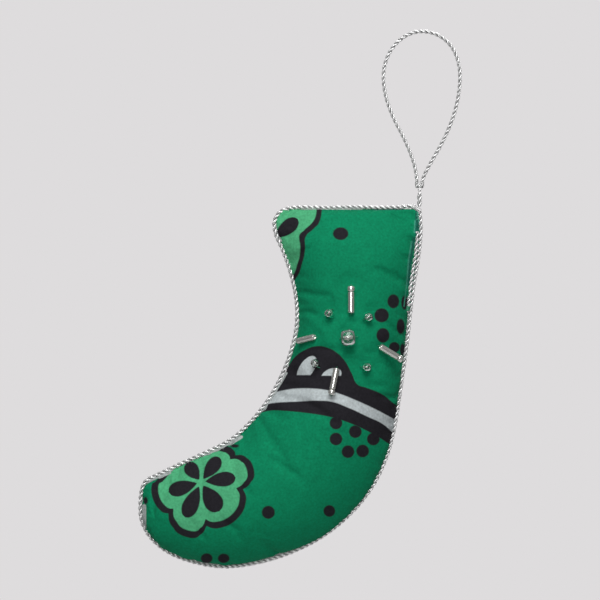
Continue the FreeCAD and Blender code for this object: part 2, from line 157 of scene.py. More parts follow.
class Nodes:
    """Short calls for building a material's node tree."""

    def __init__(self, name):
        self.material = bpy.data.materials.new(name)
        self.material.use_nodes = True
        self.tree = self.material.node_tree
        self.shader = self.tree.nodes["Principled BSDF"]

    def put(self, kind, **settings):
        node = self.tree.nodes.new(kind)
        for key, setting in settings.items():
            setattr(node, key, setting)
        return node

    def feed(self, socket, source):
        if isinstance(source, bpy.types.NodeSocket):
            self.tree.links.new(source, socket)
        else:
            socket.default_value = source

    def math(self, operation, first, second=0.0, third=0.0):
        node = self.put("ShaderNodeMath", operation=operation)
        self.feed(node.inputs[0], first)
        self.feed(node.inputs[1], second)
        if operation in ("MULTIPLY_ADD", "SMOOTH_MIN", "SMOOTH_MAX", "COMPARE"):
            self.feed(node.inputs[2], third)
        return node.outputs[0]

    def plus(self, first, second):
        return self.math("ADD", first, second)

    def minus(self, first, second):
        return self.math("SUBTRACT", first, second)

    def times(self, first, second):
        return self.math("MULTIPLY", first, second)

    def most(self, masks):
        """The highest of several masks."""
        result = masks[0]
        for mask in masks[1:]:
            result = self.math("MAXIMUM", result, mask)
        return result

    def least(self, masks):
        """The lowest of several masks."""
        result = masks[0]
        for mask in masks[1:]:
            result = self.math("MINIMUM", result, mask)
        return result

    def inside(self, distance, blur):
        """1 where the distance is under 0, 0 where it is over 0, with a soft edge."""
        node = self.put("ShaderNodeMapRange")
        self.feed(node.inputs["Value"], distance)
        node.inputs["From Min"].default_value = blur
        node.inputs["From Max"].default_value = -blur
        return node.outputs["Result"]

    def mix(self, share, first, second):
        node = self.put("ShaderNodeMix", data_type="RGBA")
        self.feed(node.inputs["Factor"], share)
        self.feed(node.inputs["A"], first)
        self.feed(node.inputs["B"], second)
        return node.outputs["Result"]

    def curve(self, points, value, low, high, vector_at=()):
        """A smooth curve through listed points, from low..high on both axes given as pairs."""
        (x_low, y_low), (x_high, y_high) = low, high
        node = self.put("ShaderNodeFloatCurve")
        line = node.mapping.curves[0]
        scaled = [((x - x_low) / (x_high - x_low), (y - y_low) / (y_high - y_low)) for x, y in points]
        while len(line.points) < len(scaled):
            line.points.new(0.5, 0.5)
        for number, (spot, place) in enumerate(zip(line.points, scaled)):
            spot.location = place
            spot.handle_type = "VECTOR" if number in vector_at else "AUTO"
        node.mapping.extend = "HORIZONTAL"
        node.mapping.update()
        share = self.math("DIVIDE", self.minus(value, x_low), x_high - x_low)
        self.feed(node.inputs["Value"], share)
        return self.math("MULTIPLY_ADD", node.outputs[0], y_high - y_low, y_low)


# ---- the printed cotton ----

GREEN = (0.003, 0.215, 0.098, 1)
PALE_GREEN = (0.075, 0.40, 0.19, 1)
BLACK = (0.018, 0.017, 0.021, 1)
GREY = (0.48, 0.53, 0.54, 1)
RAW_GREY = (0.42, 0.46, 0.45, 1)
RAW_PALE_TEAL = (0.05, 0.3, 0.2, 1)
# dark teal of the cut edge, also the colour of the painted shadow under the cuff's cord
DARK_TEAL_EDGE_AND_SHADOW = (0.012, 0.13, 0.09, 1)
EDGE = 0.16  # softness of a printed edge, mm

# Printed dots: x, z, half width and half height, in mm.
DOTS = [
    (-24.4, -60.2, 2.3, 1.9),
    (-8.6, -80.5, 1.75, 2.1), (-5.2, -80.9, 1.0, 2.1), (-12.1, -84.7, 2.15, 2.1), (-6.4, -88.0, 1.2, 2.3),
    (-11.7, -90.7, 1.95, 2.2), (-8.3, -94.3, 1.6, 1.6), (-5.8, -95.0, 0.8, 1.8),
    (-25.8, -117.0, 1.9, 1.9), (-25.8, -121.8, 1.9, 1.9), (-22.2, -125.6, 1.9, 1.9),
    (-17.8, -125.4, 1.9, 1.9), (-20.0, -119.6, 1.9, 1.9), (-14.6, -121.8, 1.9, 1.9),
    (-46.1, -143.8, 1.95, 1.95), (-27.8, -143.4, 1.75, 1.75),
    (-64.6, -157.6, 1.75, 1.5), (-59.5, -157.6, 1.75, 1.4),
    (-56.2, -123.9, 1.3, 0.5), (-82.9, -140.3, 0.6, 1.1),
]
# A flower's six petals: direction in degrees, reach and half width in mm.
PETALS = [
    (7, 10.6, 2.2), (53, 9.4, 2.1), (127, 7.2, 2.15), (197, 10.3, 2.25), (246, 11.8, 2.4), (302, 10.5, 2.8),
]
# A petal's outline: share of its reach, share of its half width.
PETAL_SHAPE = [
    (0, -0.5), (0.1, -0.12), (0.16, 0.14), (0.3, 0.52), (0.45, 0.83), (0.6, 0.98), (0.72, 1),
    (0.85, 0.82), (0.94, 0.5), (1, -0.1), (1.1, -0.5),
]
# The flower's rim: direction in degrees and radius in mm, with a notch between lobes.
RIM = [
    (-180, 11.7), (-162, 13.2), (-147, 12.9), (-136, 11.5), (-122, 13.9), (-102, 15.0), (-91, 13.8),
    (-83, 11.2), (-68, 12.8), (-46, 13.4), (-25, 12.7), (-10, 10.7), (0, 12.9), (14, 14.2), (28, 13.4),
    (38, 11.0), (46, 11.6), (60, 10.9), (82, 12.2), (98, 11.6), (115, 11.8), (133, 12.2), (150, 11.2),
    (163, 9.5), (172, 10.4), (180, 11.7),
]
NOTCHES = (3, 7, 11, 15, 19, 23)
# Pale windows in the dark mound, ovals that lean: foot x and z, lean, half width, rise of the middle,
# half height.
WINDOWS = [(-35.5, -102.6, 0.45, 2.4, 2.0, 3.7), (-27.2, -102.8, 0.4, 2.9, 0.0, 2.3)]
RIM_LINE = 2.1  # width of the flower's black rim, mm
# Streaks where the cut edge shows beside the cord, and a painted shadow under the cord along the cuff's top:
# start x, z, end x, z, half width in mm.
PALE_STREAKS = [
    (-83.4, -142.0, -83.4, -148.5, 0.65), (-82.4, -151.2, -79.0, -153.9, 0.3),
    (-78.8, -133.4, -75.6, -132.0, 0.3), (-57.4, -123.2, -54.2, -121.2, 0.45),
    (-40.6, -102.0, -42.4, -105.2, 0.25),
]
TEAL_STREAKS = [
    (-2.1, -56.4, -2.3, -59.8, 0.2), (-3.1, -62.6, -4.05, -68.2, 0.22), (-4.05, -68.2, -4.6, -75.5, 0.2),
    (-4.6, -75.5, -5.4, -82.0, 0.14),
]
# the dark teal cut edge by the corner; the streak along the cuff's top, x -14.5 to -5.5, is painted shadow
# under the cord
DARK_STREAKS = [
    (-1.0, -54.0, -1.2, -60.5, 1.0), (-14.5, -52.9, -5.5, -52.8, 0.3), (-2.4, -61.5, -3.5, -68.0, 0.4),
    (-3.5, -68.0, -4.1, -75.5, 0.4),
]


def streak(n, x, z, from_x, from_z, to_x, to_z, half_width):
    """A short straight streak with round ends."""
    run_x, run_z = to_x - from_x, to_z - from_z
    off_x = n.minus(x, from_x)
    off_z = n.minus(z, from_z)
    along = n.plus(n.times(off_x, run_x), n.times(off_z, run_z))
    share = n.math("MINIMUM", n.math("MAXIMUM", n.math("DIVIDE", along, run_x**2 + run_z**2), 0), 1)
    gap_x = n.minus(off_x, n.times(share, run_x))
    gap_z = n.minus(off_z, n.times(share, run_z))
    gap = n.math("SQRT", n.plus(n.times(gap_x, gap_x), n.times(gap_z, gap_z)))
    return n.inside(n.minus(gap, half_width), 0.12)


def petal(n, x, z, turn, reach, half_width):
    """A black teardrop from near the flower's centre out to its reach."""
    c, s = math.cos(math.radians(turn)), math.sin(math.radians(turn))
    along = n.plus(n.times(x, c), n.times(z, s))
    across = n.math("ABSOLUTE", n.minus(n.times(z, c), n.times(x, s)))
    share = n.curve(PETAL_SHAPE, n.math("DIVIDE", along, reach), (0, -1), (1.1, 2))
    return n.minus(across, n.times(share, half_width))


def cuff_print(n, x, z):
    """Part of a second flower at the cuff, on the front only: its face, and its black parts."""
    line_points = [
        (-76, -39.9), (-73.8, -38.7), (-71.8, -37.5), (-69.6, -36.8), (-66.6, -36.0), (-64.2, -35.8),
        (-61.2, -35.9), (-59.1, -34.1), (-56.5, -31.7), (-54.4, -31.0), (-50, -30.9),
    ]
    line_x = n.curve(line_points, z, (-76, -40), (-50, -28))
    past = n.minus(x, line_x)
    width_points = [(-76, 0.8), (-62.5, 0.8), (-60, 1.15), (-57.8, 1.15), (-55.5, 0.85), (-50, 0.8)]
    line_width = n.curve(width_points, z, (-76, 0), (-50, 2))
    above = n.inside(n.minus(-75.5, z), 0.4)
    cuff_flower = n.least([n.inside(past, EDGE), above])
    cuff_line = n.least([n.inside(n.minus(n.math("ABSOLUTE", past), line_width), EDGE), above])
    cuff_petal = petal(n, n.minus(x, -45.4), n.minus(z, -62.4), 39, 10.6, 2.15)
    cuff_petal = n.inside(cuff_petal, EDGE)
    return cuff_flower, [cuff_line, cuff_petal]


def heel_sliver(n, x, z):
    """The dark sliver at the heel's edge, on the front only."""
    heel = n.plus(n.times(x, 0.79), n.times(z, -0.62))
    heel_run = n.plus(n.times(x, 0.62), n.times(z, 0.79))
    heel_low = n.minus(n.math("ABSOLUTE", n.minus(heel_run, -120.5)), 5.0)
    return n.least([n.inside(n.minus(72.6, heel), EDGE), n.inside(heel_low, 0.5)])


PRINT_CENTRE = (-36.6, -80.1)
PRINT_REACH = 500  # the print is drawn as laid flat: it spreads by its height over this much, in mm


def printed_cotton(name, mirror):
    """Plain-weave cotton with its print, laid out in the plane of the seam."""
    n = Nodes(name)
    place = n.put("ShaderNodeTexCoord").outputs["Object"]
    split = n.put("ShaderNodeSeparateXYZ")
    n.feed(split.inputs[0], place)
    depth = n.math("MULTIPLY_ADD", n.math("ABSOLUTE", split.outputs["Y"]), -1000 / PRINT_REACH, 1)
    spread = []
    for axis, middle in zip("XZ", PRINT_CENTRE):
        offset = n.math("MULTIPLY_ADD", split.outputs[axis], 1000, -middle)
        spread.append(n.plus(n.math("DIVIDE", offset, depth), middle))
    x, z = spread
    if mirror:
        x = n.math("MULTIPLY_ADD", x, -1, -88.0)
        z = n.plus(z, 9.0)
    spot = n.put("ShaderNodeCombineXYZ")
    n.feed(spot.inputs["X"], x)
    n.feed(spot.inputs["Y"], z)

    black = []
    for dot_x, dot_z, half_x, half_z in DOTS:
        moved = n.put("ShaderNodeVectorMath", operation="SUBTRACT")
        n.feed(moved.inputs[0], spot.outputs[0])
        moved.inputs[1].default_value = (dot_x, dot_z, 0)
        scaled = n.put("ShaderNodeVectorMath", operation="DIVIDE")
        n.feed(scaled.inputs[0], moved.outputs[0])
        scaled.inputs[1].default_value = (half_x, half_z, 1)
        length = n.put("ShaderNodeVectorMath", operation="LENGTH")
        n.feed(length.inputs[0], scaled.outputs[0])
        black.append(n.inside(n.minus(length.outputs["Value"], 1), EDGE / min(half_x, half_z)))

    # flower on the toe
    fx = n.minus(x, -66.3)
    fz = n.minus(z, -134.7)
    angle = n.math("DEGREES", n.math("ARCTAN2", fz, fx))
    radius = n.math("SQRT", n.plus(n.times(fx, fx), n.times(fz, fz)))
    rim = n.curve(RIM, angle, (-180, 8), (180, 16), NOTCHES)
    flower = n.inside(n.minus(radius, rim), EDGE)
    flower_line = n.inside(n.minus(radius, n.plus(rim, RIM_LINE)), EDGE)
    petals = [n.inside(petal(n, fx, fz, *measures), EDGE) for measures in PETALS]

    # dark mound with two pale windows over a pale band
    mound = [
        (-50, -109), (-44, -104.5), (-40.7, -100.9), (-38.4, -97.5), (-35.4, -95.2), (-31.2, -93.9),
        (-27.8, -94.6), (-25.8, -95.7), (-23.2, -98.3), (-21.1, -102.1), (-19.3, -105.5),
        (-16.7, -106.4), (-11.6, -108.6), (-8.5, -111.1), (0, -116),
    ]
    band_top = [
        (-50, -109.5), (-44, -107.8), (-41.5, -107.2), (-38.1, -106.7), (-32.2, -106.7), (-27.8, -107.3),
        (-24.3, -108.4), (-19.1, -110.5), (-13.3, -113.2), (-8.8, -115.6), (0, -120),
    ]
    band_foot = [
        (-50, -112.2), (-44.6, -111.0), (-38.1, -110.6), (-30.5, -110.3), (-27.1, -110.6), (-21.9, -112.5),
        (-16.7, -114.9), (-11.6, -117.4), (-8.8, -119.8), (0, -125),
    ]
    under = [
        (-50, -114.5), (-45.5, -113.3), (-40.8, -113.4), (-33.9, -114.1), (-28.4, -115.0), (-22, -116.9),
        (-16, -119.6), (-11.2, -122.4), (-8, -124.5), (0, -129),
    ]
    low, high = (-50, -130), (0, -90)
    below_mound = n.inside(n.minus(z, n.curve(mound, x, low, high)), EDGE)
    above_under = n.inside(n.minus(n.curve(under, x, low, high), z), EDGE)
    below_top = n.inside(n.minus(z, n.curve(band_top, x, low, high)), EDGE)
    above_foot = n.inside(n.minus(n.curve(band_foot, x, low, high), z), EDGE)
    black.append(n.least([below_mound, above_under]))
    grey = n.least([below_top, above_foot])
    windows = []
    for foot_x, floor_z, lean, half_x, rise, half_z in WINDOWS:
        up = n.minus(z, floor_z)
        upright_x = n.minus(n.minus(x, foot_x), n.times(up, lean))
        ex = n.math("DIVIDE", upright_x, half_x)
        ez = n.math("DIVIDE", n.minus(up, rise), half_z)
        oval = n.minus(n.plus(n.times(ex, ex), n.times(ez, ez)), 1)
        windows.append(n.least([n.inside(oval, 0.08), n.inside(n.times(up, -1), EDGE)]))
    grey = n.most([grey] + windows)

    faces = [flower]
    black += petals
    if not mirror:
        cuff_face, cuff_black = cuff_print(n, x, z)
        faces.append(cuff_face)
        black += cuff_black + [heel_sliver(n, x, z)]

    mottle = n.put("ShaderNodeTexNoise")
    mottle.inputs["Scale"].default_value = 260
    mottle.inputs["Detail"].default_value = 4
    n.feed(mottle.inputs["Vector"], place)
    light = n.put("ShaderNodeMapRange")
    n.feed(light.inputs["Value"], mottle.outputs["Fac"])
    light.inputs["To Min"].default_value = 0.86
    light.inputs["To Max"].default_value = 1.1
    fleck = n.put("ShaderNodeTexNoise")
    fleck.inputs["Scale"].default_value = 1500
    fleck.inputs["Detail"].default_value = 2
    n.feed(fleck.inputs["Vector"], place)
    flecks = n.math("MULTIPLY_ADD", fleck.outputs["Fac"], 0.7, 0.65)

    colour = n.mix(flower_line, GREEN, BLACK)
    colour = n.mix(n.most(faces), colour, PALE_GREEN)
    colour = n.mix(n.most(black), colour, BLACK)
    colour = n.mix(grey, colour, GREY)
    if not mirror:
        # cut-edge colours; among the dark streaks is painted shadow under the cuff's cord
        edge_and_shadow_marks = (
            (DARK_STREAKS, DARK_TEAL_EDGE_AND_SHADOW), (TEAL_STREAKS, RAW_PALE_TEAL), (PALE_STREAKS, RAW_GREY),
        )
        for streaks, tint in edge_and_shadow_marks:
            colour = n.mix(n.most([streak(n, x, z, *measures) for measures in streaks]), colour, tint)
    tone = n.put("ShaderNodeVectorMath", operation="SCALE")
    n.feed(tone.inputs[0], colour)
    n.feed(tone.inputs["Scale"], n.times(light.outputs["Result"], flecks))
    n.feed(n.shader.inputs["Base Color"], tone.outputs[0])
    n.shader.inputs["Roughness"].default_value = 0.85
    n.shader.inputs["Sheen Weight"].default_value = 0.02
    n.shader.inputs["Sheen Roughness"].default_value = 0.4
    n.shader.inputs["Specular IOR Level"].default_value = 0.07

    # plain weave: crossed threads at about 2.6 to the millimetre
    weave = []
    for socket in (x, z):
        wave = n.math("SINE", n.times(socket, 2 * math.pi * 2.6))
        weave.append(wave)
    over = n.times(weave[0], weave[1])
    grain = n.put("ShaderNodeTexNoise")
    grain.inputs["Scale"].default_value = 2200
    n.feed(grain.inputs["Vector"], place)
    height = n.math("MULTIPLY_ADD", over, 0.5, grain.outputs["Fac"])
    bump = n.put("ShaderNodeBump")
    bump.inputs["Strength"].default_value = 0.35
    bump.inputs["Distance"].default_value = 0.00006
    n.feed(bump.inputs["Height"], height)
    n.feed(n.shader.inputs["Normal"], bump.outputs["Normal"])
    return n.material


def thread_look(name, colour, roughness, metallic, ridges, ridge_depth):
    """Twisted yarn: fine ridges that wind along a tube, with painted shade in the ridges' troughs and in the
    grooves between the plies.
    """
    n = Nodes(name)
    uv = n.put("ShaderNodeUVMap")
    split = n.put("ShaderNodeSeparateXYZ")
    n.feed(split.inputs[0], uv.outputs[0])
    around = n.times(split.outputs["X"], ridges)
    turn = n.plus(around, n.times(split.outputs["Y"], 5))
    ridge = n.math("SINE", n.times(turn, 2 * math.pi))
    grain = n.put("ShaderNodeTexNoise")
    grain.inputs["Scale"].default_value = 3000
    height = n.plus(ridge, grain.outputs["Fac"])
    bump = n.put("ShaderNodeBump")
    bump.inputs["Strength"].default_value = 0.8
    bump.inputs["Distance"].default_value = ridge_depth
    n.feed(bump.inputs["Height"], height)
    n.feed(n.shader.inputs["Normal"], bump.outputs["Normal"])
    # painted shade: darker in the troughs of the ridges
    shade = n.put("ShaderNodeMapRange")
    n.feed(shade.inputs["Value"], ridge)
    shade.inputs["From Min"].default_value = -1
    shade.inputs["To Min"].default_value = 0.75
    # painted shade in the grooves between the plies, from each point's height over the cord's core
    groove_shade = n.put("ShaderNodeMapRange", interpolation_type="SMOOTHSTEP")
    n.feed(groove_shade.inputs["Value"], n.put("ShaderNodeAttribute", attribute_name="height").outputs["Fac"])
    groove_shade.inputs["From Min"].default_value = 0.5
    groove_shade.inputs["From Max"].default_value = 0.95
    groove_shade.inputs["To Min"].default_value = 0.45
    tone = n.put("ShaderNodeVectorMath", operation="SCALE")
    tone.inputs[0].default_value = colour
    n.feed(tone.inputs["Scale"], n.times(shade.outputs["Result"], groove_shade.outputs["Result"]))
    n.feed(n.shader.inputs["Base Color"], tone.outputs[0])
    n.shader.inputs["Roughness"].default_value = roughness
    n.shader.inputs["Metallic"].default_value = metallic
    return n.material


def plain_look(name, colour, roughness, metallic=0.0, grain_scale=1500, grain_depth=0.00002):
    """A plain finish with a fine grain."""
    n = Nodes(name)
    grain = n.put("ShaderNodeTexNoise")
    grain.inputs["Scale"].default_value = grain_scale
    tone = n.mix(grain.outputs["Fac"], tuple(0.7 * v for v in colour[:3]) + (1,), colour)
    n.feed(n.shader.inputs["Base Color"], tone)
    n.shader.inputs["Roughness"].default_value = roughness
    n.shader.inputs["Metallic"].default_value = metallic
    bump = n.put("ShaderNodeBump")
    bump.inputs["Distance"].default_value = grain_depth
    n.feed(bump.inputs["Height"], grain.outputs["Fac"])
    n.feed(n.shader.inputs["Normal"], bump.outputs["Normal"])
    return n.material


FRONT_COTTON = printed_cotton("front_cotton", False)
BACK_COTTON = printed_cotton("back_cotton", True)
SILVER = thread_look("silver_cord", (0.95, 0.95, 0.95), 0.3, 0.5, 3, 0.00002)
THREAD = thread_look("sewing_thread", (0.8, 0.8, 0.8), 0.4, 0.3, 3, 0.00001)
RAW_EDGE = plain_look("raw_cotton_edge", RAW_GREY, 0.9)
RAW_TEAL = plain_look("raw_teal_edge", RAW_PALE_TEAL, 0.9)

# ---- meshes from rows of points ----


def mesh_object(name, points, faces, material, smooth=True):
    mesh = bpy.data.meshes.new(name)
    mesh.from_pydata([tuple(p) for p in points], [], faces)
    mesh.polygons.foreach_set("use_smooth", [smooth] * len(mesh.polygons))
    mesh.materials.append(material)
    return add_object(name, mesh)


def spline_points(route, step):
    """Evenly spaced points along the NURBS curve whose control points are the route."""
    data = bpy.data.curves.new("line", "CURVE")
    data.dimensions = "3D"
    spline = data.splines.new("NURBS")
    spline.points.add(len(route) - 1)
    for spot, place in zip(spline.points, route):
        spot.co = (*place, 1)
    spline.order_u = 3
    spline.use_endpoint_u = True
    spline.resolution_u = 24
    carrier = add_object("line", data)
    mesh = bpy.data.meshes.new_from_object(carrier)
    raw = np.array([v.co[:] for v in mesh.vertices])
    bpy.data.objects.remove(carrier)
    bpy.data.meshes.remove(mesh)
    along = np.concatenate([[0], np.cumsum(np.linalg.norm(np.diff(raw, axis=0), axis=1))])
    count = max(int(round(along[-1] / step)), 4)
    wanted = np.linspace(0, along[-1], count + 1)
    return np.stack([np.interp(wanted, along, raw[:, axis]) for axis in range(3)], axis=1), along[-1]


def side_frames(points):
    """Two directions square to the line at each of its points, carried along without twist."""
    ways = np.gradient(points, axis=0)
    ways /= np.linalg.norm(ways, axis=1)[:, None]
    side = np.cross(ways[0], (0, 1, 0))
    if np.linalg.norm(side) < 0.1:
        side = np.cross(ways[0], (1, 0, 0))
    sides = []
    for way in ways:
        side = side - way * side.dot(way)
        side /= np.linalg.norm(side)
        sides.append(side)
    sides = np.array(sides)
    return sides, np.cross(ways, sides), ways


def tube_rows(points, radius, around):
    """Rings of points round a line; radius may be a number or one per point."""
    sides, ups, _ = side_frames(points)
    radii = np.broadcast_to(radius, len(points))
    rings = []
    for k in range(around):
        turn = 2 * math.pi * k / around
        rings.append(points + radii[:, None] * (math.cos(turn) * sides + math.sin(turn) * ups))
    return np.stack(rings, axis=1)


class Build:
    """Collects tubes into one mesh with a UV map: u along in millimetres, v once round."""

    def __init__(self):
        self.points = []
        self.faces = []
        self.uvs = []
        self.heights = []

    def tube(self, line, radius, around=8, core=None, core_radius=1.0):
        """One tube; core is the line of the cord it winds round, so that its grooves can be told apart for
        painted shade.
        """
        rings = tube_rows(np.asarray(line), radius, around)
        first = len(self.points)
        self.points.extend(rings.reshape(-1, 3))
        if core is None:
            self.heights.extend([1.0] * (len(rings) * around))
        else:
            self.heights.extend((np.linalg.norm(rings - core[:, None], axis=2) / core_radius).reshape(-1))
        run = np.concatenate([[0], np.cumsum(np.linalg.norm(np.diff(line, axis=0), axis=1))]) * 1000
        for i in range(len(rings) - 1):
            for k in range(around):
                after = (k + 1) % around
                row, nxt = first + i * around, first + (i + 1) * around
                self.faces.append((row + k, row + after, nxt + after, nxt + k))
                low, high = k / around, (k + 1) / around
                self.uvs.append(((run[i], low), (run[i], high), (run[i + 1], high), (run[i + 1], low)))
        last = first + (len(rings) - 1) * around
        self.faces.append(tuple(first + k for k in reversed(range(around))))
        self.uvs.append(tuple((0, 0) for _ in range(around)))
        self.faces.append(tuple(last + k for k in range(around)))
        self.uvs.append(tuple((0, 0) for _ in range(around)))

    def finish(self, name, material, body, slot):
        item = mesh_object(name, self.points, self.faces, material)
        layer = item.data.uv_layers.new(name="along")
        layer.data.foreach_set("uv", [c for face in self.uvs for pair in face for c in pair])
        # height over the cord's core, which the yarn finish turns into painted shade in the grooves
        height = item.data.attributes.new("height", "FLOAT", "POINT")
        height.data.foreach_set("value", self.heights)
        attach(item, body)
        return item


def twisted_lines(points, offset, lay, plies, phase=0.0):
    """The centre lines of a cord's plies, wound round its own line."""
    sides, ups, _ = side_frames(points)
    run = np.concatenate([[0], np.cumsum(np.linalg.norm(np.diff(points, axis=0), axis=1))])
    lines = []
    for ply in range(plies):
        turn = 2 * math.pi * (run / lay + ply / plies) + phase
        lines.append(points + offset * (np.cos(turn)[:, None] * sides + np.sin(turn)[:, None] * ups))
    return lines


def rope(build, route, diameter, lay=CORD_LAY, phase=0.0):
    """A two-ply cord along a route; gives back its line and length."""
    points, length = spline_points(route, lay / 14)
    for line in twisted_lines(points, diameter * 0.24, lay, 2, phase):
        build.tube(line, diameter * 0.26, 12, points, diameter / 2)
    return points, length


# ---- routes, the same points as the CAD cords, in metres ----


def metres(points):
    return [tuple(v * MM for v in point) for point in points]


LOOP_ROUTE = metres([
    (-1.38, 0, -46.4), (-1.38, 0, -44.1), (-2.5, 0, -38.2), (-5.3, 0, -31.6), (-9.0, 0, -24.8),
    (-11.5, 0, -17.2), (-11.6, 0, -9.6), (-8.4, 0, -3.2), (-2.9, 0, 0.5), (3.4, 0, 0.4),
    (8.9, 0, -3.3), (11.5, 0, -9.8), (11.3, 0, -17.4), (9.6, 0, -25.0), (6.4, 0, -32.4),
    (2.7, 0, -38.8), (-0.12, 0, -44.1), (-0.12, 0, -46.4),
])
TRIM_ROUTE = metres([
    (-0.75, 0, -52.9), (-0.25, 0, -57.6), (-0.6, 0, -63.6), (-1.5, 0, -69.6), (-2.6, 0, -75.8),
    (-3.4, 0, -82.4), (-4.1, 0, -89.2), (-5.0, 0, -96.4), (-6.1, 0, -104.0), (-7.2, 0, -111.8),
    (-8.6, 0, -120.2), (-10.9, 0, -128.2), (-14.8, 0, -136.2), (-20.9, 0, -143.9),
    (-28.9, 0, -150.6), (-38.3, 0, -155.6), (-48.6, 0, -158.9), (-59.0, 0, -160.4),
    (-67.8, 0, -159.0), (-75.4, 0, -156.4), (-81.2, 0, -152.0), (-84.4, 0, -146.4),
    (-84.5, 0, -140.9), (-84.2, 0, -137.2), (-83.0, 0, -134.2), (-79.6, 0, -132.7),
    (-71.9, 0, -129.0), (-64.0, 0, -125.5), (-56.6, 0, -121.9), (-50.2, 0, -115.6),
    (-45.4, 0, -109.2),
    (-41.7, 0, -102.2), (-38.9, 0, -94.8), (-37.3, 0, -87.0), (-37.6, 0, -79.6),
    (-39.2, 0, -72.2), (-41.6, 0, -65.2), (-44.1, 0, -60.2), (-44.4, 0, -55.8),
    (-41.7, 0, -52.7), (-36.5, 0, -52.2), (-29.0, 0, -52.5), (-20.5, 0, -52.1),
    (-12.0, 0, -52.5), (-5.0, 0, -52.2), (-2.7, 0, -51.9),
])
TAIL_ROUTE = metres([
    (-1.5, -1.1, -59.6), (-1.75, -1.12, -64.6), (-2.6, -1.1, -69.8), (-3.45, -1.13, -75.0),
    (-4.1, -1.1, -80.0), (-4.5, -1.1, -83.8),
])

# ---- cords ----

loop_build = Build()
loop_line, _ = rope(loop_build, LOOP_ROUTE, CORD_D)
loop = loop_build.finish("loop_rope", SILVER, "loop", "silver_cord")
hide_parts("hanging_loop")

binding_build = Build()
low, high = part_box("neck_binding")
turns = 4
half_wide = (high[0] - low[0]) / 2 - 0.16 * MM
half_deep = (high[1] - low[1]) / 2 - 0.16 * MM
binding_line = []
for i in range(turns * 28 + 1):
    turn = 2 * math.pi * i / 28
    flat = math.copysign(abs(math.cos(turn)) ** 0.8, math.cos(turn))
    binding_line.append((
        (low[0] + high[0]) / 2 + (half_wide - 0.1 * MM) * flat,
        (half_deep - 0.1 * MM) * math.sin(turn),
        low[2] + 0.12 * MM + (high[2] - low[2] - 0.24 * MM) * i / (turns * 28),
    ))
binding_build.tube(np.array(binding_line), 0.1 * MM, 8)
binding = binding_build.finish("neck_binding_thread", SILVER, "loop", "sewing_thread")
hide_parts("neck_binding")

# The neck's plies: offset and radius, and the same for the smaller head that the neck leans on.
NECK_LAY = 3.4 * MM
NECK_PHASE = 0.9
NECK_PLY_OFF = 0.36 * MM
NECK_PLY_R = 0.37 * MM
HEAD_HALF = 0.3 * MM
HEAD_PLY_OFF = 0.33 * MM
HEAD_PLY_R = 0.34 * MM

# the round head of the neck, small enough to turn and lean under the legs' ends
head_build = Build()
head_low, head_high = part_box("neck_head")
head_x = (head_low[0] + head_high[0]) / 2
head_z = (head_low[2] + head_high[2]) / 2
head_line = np.array([(head_x, 0, head_z + HEAD_HALF * (1 - k / 10)) for k in range(21)])
for line in twisted_lines(head_line, HEAD_PLY_OFF, NECK_LAY, 2, NECK_PHASE):
    head_build.tube(line, HEAD_PLY_R, 12, head_line, HEAD_PLY_OFF + HEAD_PLY_R)
head = head_build.finish("neck_head_twist", SILVER, "neck_head", "silver_cord")
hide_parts("neck_head")

neck_build = Build()
neck_x = (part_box("neck_cord")[0][0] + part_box("neck_cord")[1][0]) / 2
neck_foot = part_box("neck_cord")[0][2]
neck_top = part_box("neck_cord")[1][2]
neck_line = np.array([(neck_x, 0, neck_top - (neck_top - neck_foot - 0.1 * MM) * k / 60) for k in range(61)])
for line in twisted_lines(neck_line, NECK_PLY_OFF, NECK_LAY, 2, NECK_PHASE):
    neck_build.tube(line, NECK_PLY_R, 12, neck_line, NECK_PLY_OFF + NECK_PLY_R)
neck = neck_build.finish("neck_twist", SILVER, "neck", "silver_cord")
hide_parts("neck_cord")

# the silver whipping that ties the seam cord's two ends together under the neck
whipping_build = Build()
whipping_core, _ = spline_points(
    metres([(-3.1, 0, -51.95), (-2.3, 0, -52.2), (-1.55, 0, -52.9), (-0.75, 0, -53.35)]), 0.03 * MM
)
for line in twisted_lines(whipping_core, 0.62 * MM, 0.36 * MM, 1):
    whipping_build.tube(line, 0.16 * MM, 8)
whipping = whipping_build.finish("corner_whipping", SILVER, "stocking", "sewing_thread")
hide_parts("corner_stitch")

trim_build = Build()
trim_line, trim_length = rope(trim_build, TRIM_ROUTE, TRIM_D, phase=0.7)
trim = trim_build.finish("edge_rope", SILVER, "stocking", "silver_cord")
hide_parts("edge_cord")

tail_build = Build()
rope(tail_build, TAIL_ROUTE, CORD_D, phase=2.0)
tail = tail_build.finish("tail_rope", SILVER, "stocking", "silver_cord")
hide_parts("cord_tail")

# ---- cotton panels and filling ----

# Pairs across the stocking, cuff to toe, as the CAD panels have them: instep side, heel side, height.
FAN = [
    ((-41.6, -52.9), (-1.7, -52.8), 0.0),
    ((-43.4, -57.6), (-1.3, -58.0), 4.8),
    ((-41.2, -64.6), (-1.8, -65.0), 8.2),
    ((-38.0, -74.0), (-3.5, -74.0), 9.4),
    ((-36.5, -84.5), (-4.7, -84.3), 9.8),
    ((-38.0, -94.6), (-5.9, -96.2), 10.0),
    ((-42.0, -105.3), (-7.4, -108.0), 10.4),
    ((-48.8, -115.0), (-9.1, -118.8), 10.8),
    ((-56.6, -122.6), (-12.0, -128.8), 11.0),
    ((-64.3, -126.6), (-18.3, -139.8), 11.0),
    ((-71.6, -129.9), (-29.6, -150.4), 10.6),
    ((-77.9, -133.2), (-43.8, -156.4), 9.6),
    ((-82.8, -136.2), (-57.6, -159.2), 8.0),
    ((-83.5, -141.2), (-69.0, -157.6), 5.4),
    ((-83.4, -145.8), (-76.6, -154.6), 2.8),
    ((-82.7, -149.4), (-80.5, -152.0), 0.0),
]
ROWS = 150
HALF_ROUND = 44
